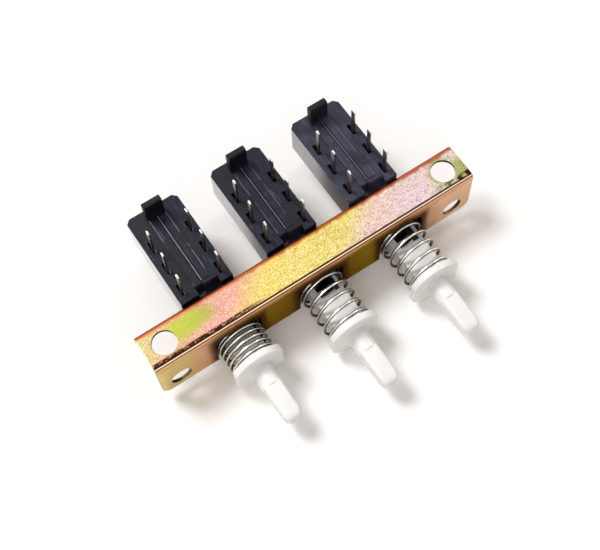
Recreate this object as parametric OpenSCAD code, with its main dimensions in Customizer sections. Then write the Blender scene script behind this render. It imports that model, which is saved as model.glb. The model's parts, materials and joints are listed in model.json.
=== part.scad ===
// Bank of three pushbutton switches on one sheet-steel bracket, with a sliding latch bar.
//
// Frame: X runs along the bracket, Y from the front face to the rear, Z towards the terminals.
// The origin lies between the two panel screw holes, on the front face of the bracket.
// A plunger runs a little beside the middle of its terminal block. Each piece is drawn around
// one of these two lines, with the plunger out, and is then put in its place.

/* [Bank] */
// Distance between neighbouring switches
pitch = 15; // [12:0.5:20]
// Offset of the middle switch from the middle of the bracket
station_shift = -0.7; // [-1.5:0.1:1.5]
// Sideways offset of a plunger from the middle of its terminal block
key_offset = 0.9; // [0:0.1:0.9]
// Travel of a plunger until it latches
latch_travel = 3.5; // [3:0.1:4]
// Travel beyond the latched place
over_travel = 1; // [0.6:0.1:1.2]

/* [Bracket] */
// Length of the bracket
bracket_l = 57.3; // [57:0.1:70]
// Depth of the bracket, over both flanges
bracket_d = 6.55; // [6.3:0.05:7]
// Height of the bracket, over the web
bracket_h = 9.6; // [9.4:0.1:11]
// Thickness of the sheet
sheet_t = 0.6; // [0.5:0.05:0.8]
// Inner radius of the bends
bend_r = 0.2; // [0.2:0.05:0.4]
// Radius of the flanges' lower corners
flange_corner_r = 1.6; // [0.8:0.1:2.4]
// Height of the rear lip at the bracket's two ends
rear_lip_h = 1.5; // [1.2:0.1:3]
// Distance from a screw hole to the bracket's end
hole_inset = 3.45; // [3:0.05:3.8]
// Height of the panel screw holes over the flange's lower edge
screw_h = 2.7; // [2.4:0.1:3.5]
// Diameter of the holes in the web
web_hole_d = 3.9; // [3:0.1:4]
// Diameter of the holes in the front flange
panel_hole_d = 3.5; // [2.5:0.1:3.6]
// Radius of the notch's upper corners
notch_corner_r = 1.5; // [0.5:0.1:2]

/* [Plunger] */
// Height of the plunger's axis over the flange's lower edge
axis_h = 2.75; // [2.5:0.05:2.9]
// Radius of the round collar
collar_r = 4.6; // [4.4:0.05:5]
// Width of the collar, over its two side flats
collar_w = 8.2; // [7.5:0.1:9]
// Thickness of the collar
collar_t = 1.05; // [0.9:0.05:2]
// Distance from the front face to the collar, plunger out
collar_gap = 8.2; // [8:0.1:10]
// Width and height of the stem in front of the collar
stem_w = 3; // [2.6:0.1:3.4]
// Radius of the stem's long edges
stem_edge_r = 0.6; // [0.3:0.05:0.8]
// Length of the square stem
stem_l = 6.3; // [5:0.1:10]
// Diameter of the neck between stem and collar
neck_d = 3.4; // [2:0.1:3.6]
// Length of the neck between stem and collar
neck_l = 3.4; // [1:0.05:4]
// Width of the slide inside the spring
slide_w = 5; // [4.8:0.1:5.4]
// Height of the slide
slide_h = 3.2; // [2.6:0.1:3.4]
// Width of a leg of the slide's fork
leg_w = 1.1; // [1:0.05:1.15]
// Distance from the front face to the slide's fork, plunger out
fork_gap = 2.1; // [1.6:0.1:2.4]
// Width of the tail that runs in the case
tail_w = 4.2; // [4:0.1:4.4]
// Width of the cam pocket between the tail's rails
pocket_w = 2.6; // [2.5:0.1:2.8]

/* [Return spring] */
// Outer diameter of the coils
coil_d = 7.8; // [7.6:0.05:8]
// Diameter of the wire
wire_d = 0.5; // [0.4:0.05:0.6]
// Number of open turns
coil_turns = 4; // [3:0.5:5]

/* [Latch bar] */
// Thickness of the latch bar
bar_t = 0.6; // [0.4:0.05:0.7]
// Width of the latch bar
bar_w = 2.4; // [2:0.1:2.6]
// Width of a latch finger
finger_w = 0.8; // [0.6:0.05:0.9]
// Sideways travel of the bar
bar_travel = 0.95; // [0.8:0.05:1]
// Length of the latch spring, with the bar pushed aside
latch_spring_l = 2; // [1.8:0.1:3]

/* [Case] */
// Width of a terminal block
block_w = 9; // [8.8:0.1:10]
// Length of a terminal block behind the bracket
block_l = 16.7; // [16.6:0.1:18]
// Height of a terminal block's top over the web
block_rise = 0.65; // [0.4:0.05:1]
// Height of a terminal block's side wall
block_h = 5.65; // [5.4:0.05:6]
// Thickness of a terminal block's top
block_top_t = 2.3; // [1.6:0.1:2.5]
// Thickness of the side walls
wall_t = 0.65; // [0.5:0.05:0.8]
// Width of the keel under a terminal block
keel_w = 5.8; // [5.6:0.1:6.4]
// Gap all round between parts that slide
slide_gap = 0.1; // [0.05:0.01:0.12]
// Gap all round between parts that are fixed to each other
fit_gap = 0.05; // [0.02:0.01:0.08]

/* [Block top] */
// Width of the two long ribs
rib_w = 1.2; // [0.8:0.05:1.4]
// Height of the ribs
rib_h = 0.35; // [0.2:0.05:0.6]
// Width of the gap between a rib and the fin in the middle
rib_gap = 0.2; // [0.1:0.05:0.3]
// Width of the lip behind the front recess
lip_w = 2.5; // [2:0.1:2.8]
// Height of the lip
lip_h = 0.6; // [0.4:0.05:0.8]
// Depth of the front recess and of the slots around the terminals
recess_depth = 1.4; // [0.6:0.1:1.5]
// Width of the rear tab
rear_tab_w = 3.1; // [2:0.1:3.4]
// Height of the rear tab
rear_tab_h = 4.2; // [2.5:0.1:5.5]
// Thickness of the rear tab
rear_tab_t = 1.05; // [0.8:0.05:1.3]
// Length cut off each side at the two rear corners
corner_cut = 0.7; // [0.3:0.05:0.9]

/* [Terminals] */
// Distance between the two rows of terminals
row_spacing = 6.58; // [6.5:0.01:6.7]
// Distance between the terminals of a row
terminal_pitch = 4.2; // [4:0.05:4.4]
// Distance from the front face to the first terminal
terminal_y = 8.4; // [8.3:0.05:8.6]
// Width of a terminal
terminal_w = 0.8; // [0.7:0.05:1.1]
// Thickness of a terminal
terminal_t = 0.25; // [0.2:0.01:0.4]
// Length of a terminal above the block
terminal_l = 6; // [3:0.5:8]

/* [Hidden] */
$fn = 48;
far = 40;
touch = 0.02;
sides = [-1, 1];
full_travel = latch_travel + over_travel;

// Heights of the bracket, measured from the panel screws
flange_z = -screw_h;
web_top_z = bracket_h - screw_h;
web_under_z = web_top_z - sheet_t;
bend_out_r = bend_r + sheet_t;
hole_x = bracket_l / 2 - hole_inset;

// The plunger's axis and the places along it, plunger out
axis_z = flange_z + axis_h;
collar_y = -collar_gap;
slide_half_h = slide_h / 2;
slide_top_z = axis_z + slide_half_h;
leg_in_w = slide_w - 2 * leg_w;
rail_y = bracket_d - full_travel - 2 * slide_gap;
floor_z = axis_z - collar_r;

// The neck of the case fills the bracket's channel, and a rebate on each side takes the rear flange
neck_w = block_w;
neck_y = sheet_t + slide_gap;
bar_drop = 0.8;
bar_top_z = web_under_z - bar_drop;
bar_z = bar_top_z - bar_t;
bar_mid_z = bar_z + bar_t / 2;
neck_top_z = bar_z - fit_gap;
rebate_depth = 0.5;
rear_notch_w = neck_w - 2 * rebate_depth;
guide_t = 0.5;
guide_l = neck_w - 3 * guide_t;

// Latch: the finger's back face stops the cam at the latched place
bar_mid_y = bracket_d / 2;
bar_front_y = bar_mid_y - bar_w / 2;
bar_back_y = bar_mid_y + bar_w / 2;
finger_y = bar_back_y - bar_t;
cam_y = bar_back_y + fit_gap - latch_travel;
cam_land = 0.5;
cam_l = finger_y - cam_y - 2 * slide_gap;
cam_x = 0.05;
finger_x = cam_x + 1.5 * slide_gap;
finger_z = axis_z + 2 * slide_gap;
pocket_end_y = bar_back_y + 5 * slide_gap;

// Ends of the latch bar, its tongue, its spring and the tab that holds the spring
bar_overhang = 3;
bar_left_x = station_shift + key_offset - pitch - bar_overhang;
bar_right_x = station_shift + key_offset + pitch + neck_w / 2 + slide_gap;
tongue_l = 0.7 * latch_spring_l;
tongue_w = 0.8;
latch_coil_d = 1.6;
latch_wire_d = 0.2;
latch_turns = 3;
tab_x = bar_right_x + latch_spring_l;
tab_h = latch_coil_d;
rear_end_x = tab_x - bend_r;

// The notch in the front flange lets the spring through
notch_w = coil_d + 2 * slide_gap;
notch_top_z = axis_z + coil_d / 2 + slide_gap;

// The terminal block, and the case's keel and brim under it
block_y = bracket_d + slide_gap;
block_in_y = block_y + wall_t;
block_end_y = block_y + block_l;
block_top_z = web_top_z + block_rise;
block_bottom_z = block_top_z - block_h;
block_roof_z = block_top_z - block_top_t;
brim_t = 0.7;
brim_w = block_w - 2 * wall_t - 2 * fit_gap;
brim_y = block_in_y + fit_gap;
brim_z = block_bottom_z + fit_gap;
brim_top_z = brim_z + brim_t;
keel_wall = (keel_w - tail_w) / 2 - slide_gap;
case_end_y = block_end_y - wall_t - fit_gap;
case_inner_end_y = case_end_y - keel_wall;
tail_end_y = case_inner_end_y - full_travel - keel_wall;

// Ribs, fin, lip, recess and tab on the terminal block
fin_w = 0.18;
fin_x = 0.07;
rib_y = block_y + 1.2;
right_rib_y = block_y + 1.65;
lip_x = -0.1;
lip_y = block_y + 0.85;
lip_l = 0.6;
recess_x = lip_x - fin_w / 2;
rear_tab_y = block_end_y - 2;
rib_end_y = rear_tab_y - 0.15;
rear_tab_bevel = 0.2;

// Terminals, their slots, and the moving contacts that wipe their inner faces
terminal_x = row_spacing / 2;
terminal_foot_z = brim_top_z + 3 * fit_gap;
terminal_top_z = block_top_z + terminal_l;
slot_w = 0.6;
slot_front = 0.6;
slot_back = 1.45;
strip_t = 0.2;
strip_bow = 0.15;
strip_lobe = 0.8;
strip_out_x = terminal_x - terminal_t / 2 - fit_gap;
strip_x = strip_out_x - strip_bow - strip_t / 2;
strip_y = terminal_y - 0.25;
strip_end_y = strip_y + terminal_pitch + 1.5;
strip_mid_y = (strip_y + strip_end_y) / 2;
strip_z = brim_top_z + 0.2;
strip_h = 1.7;
strip_top_z = strip_z + strip_h;
strip_mid_z = strip_z + strip_h / 2;

// The contact carrier: its saddle, its head and the pegs that hold it and the strips
head_w = 2 * strip_x - strip_t;
head_margin = 0.5;
saddle_w = tail_w - 0.8;
strip_peg_w = 0.7;
foot_w = 1.2;
foot_l = 1.8;
foot_depth = 0.9;

// ---- shared shapes ----

// A rectangle standing on the X axis, with its two upper corners rounded
module arched(w, h, r) {
  translate([-w / 2, 0]) square([w, h - r]);
  translate([-w / 2 + r, 0]) square([w - 2 * r, h]);
  for (s = sides) translate([s * (w / 2 - r), h - r]) circle(r);
}

// A centred square with rounded corners
module rounded_square(w, r) {
  square([w - 2 * r, w], center = true);
  square([w, w - 2 * r], center = true);
  for (sx = sides, sy = sides) translate([sx, sy] * (w / 2 - r)) circle(r);
}

// A centred bar along Y, from y0 to y1 around the height z
module bar_y(w, h, y0, y1, z = 0) {
  translate([-w / 2, y0, z - h / 2]) cube([w, y1 - y0, h]);
}

// A cylinder along Y from y0 to y1
module rod_y(r, y0, y1) {
  translate([0, y0, 0]) rotate([-90, 0, 0]) cylinder(h = y1 - y0, r = r);
}

// Places a child, drawn along Z in its own XY plane, so that its extrusion runs along Y
module along_y(y0) {
  translate([0, y0, 0]) rotate([90, 0, 0]) mirror([0, 0, 1]) children();
}

// Height along a spring's axis after t turns, with one closed turn at each end
function spring_height(t, turns, wire, length) =
  let (open = length - 3 * wire)
  t < 1 ? wire * (0.5 + t)
  : t > turns + 1 ? length - wire * (0.5 + turns + 2 - t)
  : wire * 1.5 + open * (t - 1) / turns;

// A coil spring along Z, its wire swept as rings of points
module coil_spring(d, wire, turns, length, steps, ring) {
  mid_r = (d - wire) / 2;
  count = round((turns + 2) * steps);
  rings = [
    for (i = [0:count])
      let (a = 360 * i / steps, z = spring_height(i / steps, turns, wire, length))
      for (k = [0:ring - 1])
        let (b = 360 * k / ring, r = mid_r + wire / 2 * cos(b))
        [r * cos(a), r * sin(a), z + wire / 2 * sin(b)]
  ];
  polyhedron(
    points = rings,
    faces = [
      [for (k = [0:ring - 1]) k],
      for (i = [0:count - 1], k = [0:ring - 1])
        let (n = (k + 1) % ring, a = i * ring, b = (i + 1) * ring)
        [a + k, b + k, b + n, a + n],
      [for (k = [ring - 1:-1:0]) count * ring + k]
    ]
  );
}

// Puts a child at the middle of a terminal block, or at a plunger's line, counted from 1
module at_block(s) {
  translate([station_shift + (s - 2) * pitch, 0, 0]) children();
}
module at_key(s) {
  at_block(s) translate([key_offset, 0, 0]) children();
}

// How far a plunger is pushed in as drawn: the first one is latched
function pushed(s) = s == 1 ? latch_travel : 0;

// ---- bracket ----

// Cross-section of the channel, drawn in Y and Z
module channel_section() {
  translate([bracket_d / 2, flange_z]) difference() {
    arched(bracket_d, bracket_h, bend_out_r);
    translate([0, -sheet_t]) arched(bracket_d - 2 * sheet_t, bracket_h, bend_r);
  }
}

// What is cut off to round a lower corner of both flanges
module flange_corner_cut(side) {
  x = side * (bracket_l / 2 - flange_corner_r);
  translate([x, -1, flange_z + flange_corner_r]) difference() {
    translate([side > 0 ? 0 : -far, 0, -far]) cube([far, bracket_d + 2, far]);
    rod_y(flange_corner_r, -1, bracket_d + 3);
  }
}

// What is cut off the rear flange at an end, down to the lip
module rear_end_cut(side) {
  x = side > 0 ? rear_end_x : -rear_end_x - far;
  translate([x, bracket_d / 2, web_top_z - rear_lip_h - far]) cube([far, bracket_d, far]);
}

// Notches for a switch: an arch in the front flange, and an opening in the rear one
module switch_notches(s) at_key(s) {
  along_y(-1) translate([0, flange_z - 1])
    linear_extrude(bracket_d / 2 + 1) arched(notch_w, notch_top_z - flange_z + 1, notch_corner_r);
  bar_y(rear_notch_w, far, bracket_d / 2, bracket_d + 1, neck_top_z + fit_gap - far / 2);
}

// Tab at the rear flange's right end, folded in behind the latch spring
module latch_tab() {
  straight_l = bracket_d - bend_out_r - (bar_mid_y - latch_coil_d / 2);
  translate([rear_end_x, bracket_d - bend_out_r, bar_mid_z - tab_h / 2]) linear_extrude(tab_h) {
    difference() {
      intersection() {
        circle(bend_out_r);
        translate([-touch, 0]) square(bend_out_r + touch);
      }
      circle(bend_r);
    }
    translate([bend_r, -straight_l]) square([sheet_t, straight_l + touch]);
  }
}

module bracket() color("goldenrod") {
  difference() {
    translate([-bracket_l / 2, 0, 0]) rotate([90, 0, 90]) linear_extrude(bracket_l) channel_section();
    for (side = sides) {
      flange_corner_cut(side);
      rear_end_cut(side);
      translate([side * hole_x, bracket_d / 2, 0]) cylinder(h = far, d = web_hole_d);
      translate([side * hole_x, 0, 0]) rod_y(panel_hole_d / 2, -1, bracket_d / 2);
    }
    for (s = [1:3]) switch_notches(s);
  }
  latch_tab();
}

// ---- latch bar and its spring ----

module latch_bar() color("silver") {
  translate([bar_left_x, bar_front_y, bar_z]) cube([bar_right_x - bar_left_x, bar_w, bar_t]);
  translate([bar_right_x - touch, bar_mid_y - tongue_w / 2, bar_z])
    cube([tongue_l + touch, tongue_w, bar_t]);
  for (s = [1:3]) at_key(s)
    translate([finger_x, finger_y, finger_z]) cube([finger_w, bar_t, bar_top_z - finger_z]);
}

module latch_spring() color("lightgray")
  translate([bar_right_x, bar_mid_y, bar_mid_z]) rotate([0, 90, 0])
    coil_spring(latch_coil_d, latch_wire_d, latch_turns, latch_spring_l, 12, 6);

// ---- plunger ----

// The square stem, its end rounded off by a domed envelope
module stem() {
  front_y = collar_y - collar_t - neck_l - stem_l;
  tip_r = stem_w / 2 - stem_edge_r;
  dome_r = stem_w / 2 + 0.45;
  dome_l = 1.8;
  intersection() {
    along_y(front_y) linear_extrude(stem_l) rounded_square(stem_w, stem_edge_r);
    translate([0, front_y, 0]) rotate([-90, 0, 0]) rotate_extrude() polygon([
      [0, 0],
      for (a = [0:15:90]) [tip_r + (dome_r - tip_r) * sin(a), dome_l * (1 - cos(a))],
      [dome_r, stem_l], [0, stem_l]
    ]);
  }
  rod_y(neck_d / 2, front_y + stem_l - touch, collar_y - collar_t + touch);
}

module collar() {
  edge = 0.2;
  intersection() {
    translate([0, collar_y - collar_t, 0]) rotate([-90, 0, 0]) rotate_extrude() polygon([
      [0, 0], [collar_r - edge, 0], [collar_r, edge], [collar_r, collar_t - edge],
      [collar_r - edge, collar_t], [0, collar_t]
    ]);
    bar_y(collar_w, far, -far, far);
  }
}

// The cam that the latch finger rides over and then drops behind
module cam() {
  rail_x = -leg_in_w / 2 - touch;
  translate([0, 0, -slide_half_h]) linear_extrude(slide_h) polygon([
    [rail_x, cam_y], [cam_x, cam_y], [cam_x, cam_y + cam_land],
    [-pocket_w / 2 + fit_gap, cam_y + cam_l], [rail_x, cam_y + cam_l]
  ]);
}

module plunger_body() {
  stem();
  collar();
  cam();
  difference() {
    union() {
      bar_y(slide_w, slide_h, collar_y - touch, rail_y);
      bar_y(tail_w, slide_h, rail_y - touch, tail_end_y);
    }
    bar_y(leg_in_w, far, -fork_gap, rail_y);
    bar_y(pocket_w, far, rail_y - touch, pocket_end_y);
    translate([0, strip_mid_y, slide_half_h])
      cube([foot_w, foot_l, 2 * foot_depth] + 2 * slide_gap * [1, 1, 1], center = true);
  }
}

module plunger(s) color("white") at_key(s)
  translate([0, pushed(s), axis_z]) plunger_body();

module return_spring(s) color("gainsboro") at_key(s) {
  front_y = collar_y + pushed(s);
  translate([0, front_y, axis_z]) rotate([-90, 90, 0])
    coil_spring(coil_d, wire_d, coil_turns, neck_y - front_y, 16, 8);
}

// ---- moving contacts ----

// Saddle that is pegged on the slide and carries the two contact strips
module contact_carrier(s) color("ivory") translate([0, pushed(s), 0]) {
  y0 = strip_y + head_margin;
  y1 = strip_end_y - head_margin;
  peg_y0 = strip_mid_y - strip_peg_w / 2;
  at_key(s) {
    bar_y(saddle_w, strip_top_z - slide_top_z, y0, y1, (strip_top_z + slide_top_z) / 2);
    bar_y(foot_w, foot_depth + touch, strip_mid_y - foot_l / 2, strip_mid_y + foot_l / 2,
      slide_top_z - (foot_depth - touch) / 2);
  }
  at_block(s) {
    bar_y(head_w, strip_h, y0, y1, strip_mid_z);
    bar_y(2 * strip_out_x - 2 * slide_gap, strip_peg_w, peg_y0, peg_y0 + strip_peg_w, strip_mid_z);
  }
}

// One bowed strip that bridges two terminals of its row
module moving_contact(s, side) color("khaki") at_block(s) translate([0, pushed(s), 0]) {
  line = [
    [strip_x, strip_y], [strip_x + strip_bow, strip_y + strip_lobe], [strip_x, strip_y + 2 * strip_lobe],
    [strip_x, strip_end_y - 2 * strip_lobe], [strip_x + strip_bow, strip_end_y - strip_lobe],
    [strip_x, strip_end_y]
  ];
  edge = [
    for (p = line) [side * (p[0] + strip_t / 2), p[1]],
    for (i = [len(line) - 1:-1:0]) [side * (line[i][0] - strip_t / 2), line[i][1]]
  ];
  hole = strip_peg_w + 2 * fit_gap;
  difference() {
    translate([0, 0, strip_z]) linear_extrude(strip_h) polygon(edge);
    bar_y(far, hole, strip_mid_y - hole / 2, strip_mid_y + hole / 2, strip_mid_z);
  }
}

// ---- terminals ----

function terminal_place(n) = terminal_y + (n - 1) * terminal_pitch;

// Flat strip with a rounded tip, drawn in Y and Z
module terminal(s, side, n) color("silver") at_block(s)
  translate([side * terminal_x - terminal_t / 2, terminal_place(n), terminal_foot_z]) rotate([90, 0, 90])
    linear_extrude(terminal_t) arched(terminal_w, terminal_top_z - terminal_foot_z, terminal_w / 2 - touch);

// ---- case under the terminal block ----

// The keel, from the rest plane up to a height and back to a place
module keel(top_z, end_y) {
  bar_y(keel_w, top_z - floor_z, bracket_d, end_y, (top_z + floor_z) / 2);
}

// Neck in the channel, keel under the block, brim inside it, and the guides of the latch bar
module case_body(s) {
  at_key(s) {
    bar_y(neck_w, neck_top_z - flange_z, neck_y, bracket_d + fit_gap, (neck_top_z + flange_z) / 2);
    keel(block_bottom_z - fit_gap, case_end_y);
    keel(brim_top_z, brim_y + touch);
    for (y = [bar_front_y - slide_gap - guide_t, bar_back_y + slide_gap])
      bar_y(guide_l, bar_t, y, y + guide_t, neck_top_z + bar_t / 2 - touch);
  }
  at_block(s) bar_y(brim_w, brim_t, brim_y, case_end_y, brim_z + brim_t / 2);
  intersection() {
    at_key(s) keel(brim_z + touch, case_end_y);
    at_block(s) bar_y(brim_w, far, brim_y, case_end_y);
  }
}

module case(s) color("#202225") difference() {
  case_body(s);
  at_key(s) {
    bore_h = slide_h + 2 * slide_gap;
    bore_w = tail_w + 2 * slide_gap;
    bar_y(slide_w + 2 * slide_gap, bore_h, 0, bracket_d - slide_gap, axis_z);
    bar_y(bore_w, bore_h, 0, block_in_y, axis_z);
    bar_y(bore_w, far, block_y + 2 * slide_gap, case_inner_end_y, axis_z - bore_h / 2 + far / 2);
    translate([finger_x - bar_travel - slide_gap, finger_y - slide_gap, axis_z])
      cube([finger_w + bar_travel + 2 * slide_gap, bar_t + 2 * slide_gap, far]);
    for (side = sides)
      translate([side * neck_w / 2, bracket_d - sheet_t / 2, 0])
        cube([2 * (rebate_depth + fit_gap), sheet_t + 2 * fit_gap, far], center = true);
  }
}

// ---- terminal block ----

// A raised box on the block's top, from x0 to x1 and y0 to y1
module on_block(x0, x1, y0, y1, h) {
  translate([x0, y0, block_top_z - touch]) cube([x1 - x0, y1 - y0, h + touch]);
}

// A cut into the block's top, from x0 to x1 and y0 to y1
module into_block(x0, x1, y0, y1) {
  translate([x0, y0, block_top_z - recess_depth]) cube([x1 - x0, y1 - y0, far]);
}

// Tab that stands up behind the ribs, with bevelled upper edges, drawn in Y and Z
module rear_tab() {
  y1 = rear_tab_y + rear_tab_t;
  top_z = block_top_z + rear_tab_h;
  translate([-rear_tab_w / 2, 0, 0]) rotate([90, 0, 90]) linear_extrude(rear_tab_w) polygon([
    [rear_tab_y, block_top_z - touch], [y1, block_top_z - touch], [y1, top_z - rear_tab_bevel],
    [y1 - rear_tab_bevel, top_z], [rear_tab_y + rear_tab_bevel, top_z], [rear_tab_y, top_z - rear_tab_bevel]
  ]);
}

module block_body() {
  fin_x0 = fin_x - fin_w / 2;
  fin_x1 = fin_x + fin_w / 2;
  bar_y(block_w, block_h, block_y, block_end_y, (block_top_z + block_bottom_z) / 2);
  on_block(fin_x0 - rib_gap - rib_w, fin_x0 - rib_gap, rib_y, rib_end_y, rib_h);
  on_block(fin_x0, fin_x1, right_rib_y, rib_end_y, rib_h);
  on_block(fin_x1 + rib_gap, fin_x1 + rib_gap + rib_w, right_rib_y, rib_end_y, rib_h);
  on_block(lip_x, lip_x + lip_w, lip_y, lip_y + lip_l, lip_h);
  rear_tab();
}

module terminal_block(s) color("#1c1e22") difference() {
  at_block(s) block_body();
  at_block(s) {
    bar_y(block_w - 2 * wall_t, far, block_in_y, block_end_y - wall_t, block_roof_z - far / 2);
    into_block(recess_x - rib_w, recess_x + touch, block_y - 1, rib_y - touch);
    into_block(recess_x, lip_x + lip_w, block_y - 1, lip_y - touch);
    for (side = sides) {
      translate([side * block_w / 2, block_end_y, 0]) rotate(45)
        cube([corner_cut * sqrt(2), corner_cut * sqrt(2), far], center = true);
      for (n = [1:3]) translate([side * terminal_x, terminal_place(n), 0]) {
        bar_y(terminal_t + 2 * touch, far, -terminal_w / 2 - touch, terminal_w / 2 + touch, block_top_z);
        into_block(-slot_w / 2, slot_w / 2, -slot_front, slot_back);
      }
    }
  }
  at_key(s) bar_y(keel_w + 2 * fit_gap, far, block_y - 1, brim_y, brim_top_z + fit_gap - far / 2);
}

bracket();
latch_bar();
latch_spring();
for (s = [1:3]) {
  plunger(s);
  return_spring(s);
  case(s);
  terminal_block(s);
  contact_carrier(s);
  for (side = sides) {
    hand = side < 0 ? "left" : "right";
    moving_contact(s, side);
    for (n = [1:3])
      terminal(s, side, n);
  }
}
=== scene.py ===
import json
from contextlib import contextmanager
from math import cos, pi, radians, sin

import bmesh
import bpy
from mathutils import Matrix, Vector

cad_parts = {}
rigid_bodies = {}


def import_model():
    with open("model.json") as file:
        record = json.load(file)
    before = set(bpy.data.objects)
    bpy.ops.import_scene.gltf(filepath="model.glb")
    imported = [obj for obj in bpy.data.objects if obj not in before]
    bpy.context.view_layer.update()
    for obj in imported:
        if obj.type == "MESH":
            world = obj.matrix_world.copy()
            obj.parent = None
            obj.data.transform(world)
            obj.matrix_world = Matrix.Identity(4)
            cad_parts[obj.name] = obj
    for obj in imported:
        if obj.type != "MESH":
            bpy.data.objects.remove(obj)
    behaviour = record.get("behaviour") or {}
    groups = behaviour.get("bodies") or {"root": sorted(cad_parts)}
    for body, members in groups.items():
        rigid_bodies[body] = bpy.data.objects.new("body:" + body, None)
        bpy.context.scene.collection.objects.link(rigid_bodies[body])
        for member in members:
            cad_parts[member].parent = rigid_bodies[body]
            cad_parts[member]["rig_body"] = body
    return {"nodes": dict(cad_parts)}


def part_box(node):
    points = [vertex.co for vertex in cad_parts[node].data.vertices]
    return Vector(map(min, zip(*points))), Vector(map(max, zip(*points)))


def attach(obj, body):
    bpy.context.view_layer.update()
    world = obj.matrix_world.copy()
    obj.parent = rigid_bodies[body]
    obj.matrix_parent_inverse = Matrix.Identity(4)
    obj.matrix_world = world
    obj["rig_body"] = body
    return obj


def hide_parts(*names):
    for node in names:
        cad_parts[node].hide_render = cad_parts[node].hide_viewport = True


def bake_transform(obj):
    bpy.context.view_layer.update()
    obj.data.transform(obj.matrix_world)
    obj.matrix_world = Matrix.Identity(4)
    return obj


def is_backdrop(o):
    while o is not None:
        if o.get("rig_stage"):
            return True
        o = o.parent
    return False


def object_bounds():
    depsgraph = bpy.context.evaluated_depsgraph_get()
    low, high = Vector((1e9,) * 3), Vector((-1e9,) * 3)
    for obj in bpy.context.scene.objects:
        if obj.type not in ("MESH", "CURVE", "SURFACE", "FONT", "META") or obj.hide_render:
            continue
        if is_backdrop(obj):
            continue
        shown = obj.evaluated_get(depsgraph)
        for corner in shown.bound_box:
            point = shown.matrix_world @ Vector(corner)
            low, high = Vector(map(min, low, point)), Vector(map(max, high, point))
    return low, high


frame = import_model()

# ---- Studio ----
# A white table under a soft lamp at the rear left, and weaker ones on the right and in front.
# Table and world show white to the camera and in reflections. The table keeps soft shadows.

mm = 0.001
cad_low, cad_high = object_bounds()
middle = (cad_low + cad_high) / 2


class Shade:
    """A socket in a material's node tree; arithmetic on it adds Math nodes."""

    def __init__(self, tree, socket=None):
        self.tree = tree
        self.socket = socket

    def node(self, kind, settings=None, sockets=None, output=0):
        """Adds a node: its settings are set first, then its sockets' values or links."""
        made = self.tree.nodes.new("ShaderNode" + kind)
        for name, value in (settings or {}).items():
            if name == "stops":
                stops = made.color_ramp.elements
                while len(stops) < len(value):
                    stops.new(1)
                for stop, (place, colour) in zip(stops, value):
                    stop.position = place
                    stop.color = (*colour, 1)
            else:
                setattr(made, name, value)
        for name, value in (sockets or {}).items():
            if isinstance(value, Shade):
                self.tree.links.new(value.socket, made.inputs[name])
            else:
                made.inputs[name].default_value = value
        return Shade(self.tree, made.outputs[output] if made.outputs else None)

    def math(self, operation, *values):
        return self.node("Math", {"operation": operation}, dict(enumerate(values)))

    def __add__(self, other):
        return self.math("ADD", self, other)

    def __sub__(self, other):
        return self.math("SUBTRACT", self, other)

    def __rsub__(self, other):
        return self.math("SUBTRACT", other, self)

    def __mul__(self, other):
        return self.math("MULTIPLY", self, other)

    def __truediv__(self, other):
        return self.math("DIVIDE", self, other)

    def __pow__(self, other):
        return self.math("POWER", self, other)

    def __abs__(self):
        return self.math("ABSOLUTE", self)

    __radd__ = __add__
    __rmul__ = __mul__

    def either(self, other):
        """The greater of two values, so that either of two masks shows."""
        return self.math("MAXIMUM", self, other)

    def repeat(self, step):
        """Starts again every step, and goes from minus half a step to half a step."""
        return self.math("WRAP", self, step / 2, -step / 2)

    def band(self, low, high, start=0, end=1):
        """Goes smoothly from start to end as the value goes from low to high."""
        return self.node(
            "MapRange",
            {"interpolation_type": "SMOOTHSTEP"},
            {"Value": self, "From Min": low, "From Max": high, "To Min": start, "To Max": end},
        )

    def between(self, low, high, soft):
        """1 from low to high, and 0 outside, over soft edges."""
        return self.band(low - soft, low) * self.band(high, high + soft, 1, 0)

    def mix(self, first, second):
        """The colour first where the value is 0, and second where it is 1."""
        made = self.node("Mix", {"data_type": "RGBA"}, {"Factor": self})
        mixer = made.socket.node
        for socket, value in ((mixer.inputs[6], first), (mixer.inputs[7], second)):
            if isinstance(value, Shade):
                self.tree.links.new(value.socket, socket)
            else:
                socket.default_value = (*value, 1)
        return Shade(self.tree, mixer.outputs[2])

    def ramp(self, *stops):
        """The colour that lies at the value between these stops, each a place and a colour."""
        return self.node("ValToRGB", {"stops": stops}, {"Fac": self})

    def place(self):
        """The point on the surface in millimetres: as a vector, and its x, y and z."""
        point = self.node("TexCoord", output="Object")
        point = point.node("VectorMath", {"operation": "SCALE"}, {0: point, "Scale": 1 / mm})
        parts = self.node("SeparateXYZ", None, {0: point}).socket.node
        return point, *(Shade(self.tree, parts.outputs[n]) for n in range(3))

    def grain(self, point, size, detail=2.0, stretch=(1, 1, 1)):
        """Noise around 0.5 whose spots are about size millimetres wide."""
        if stretch != (1, 1, 1):
            point = self.node("VectorMath", {"operation": "DIVIDE"}, {0: point, 1: stretch})
        return self.node("TexNoise", None, {"Vector": point, "Scale": 1 / size, "Detail": detail})

    def bump(self, strength, depth):
        """A normal that follows the value as a height; depth is in metres."""
        return self.node("Bump", None, {"Strength": strength, "Distance": depth, "Height": self})


def new_material(name):
    """An empty material, and a Shade that adds nodes to it."""
    material = bpy.data.materials.new(name)
    material.use_nodes = True
    material.node_tree.nodes.clear()
    return material, Shade(material.node_tree)


def end_material(shade, surface):
    """Leads a shader to the material's output."""
    shade.node("OutputMaterial", None, {"Surface": surface})


def coat(piece, material):
    """Gives a piece this material alone."""
    piece.data.materials.clear()
    piece.data.materials.append(material)


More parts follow.
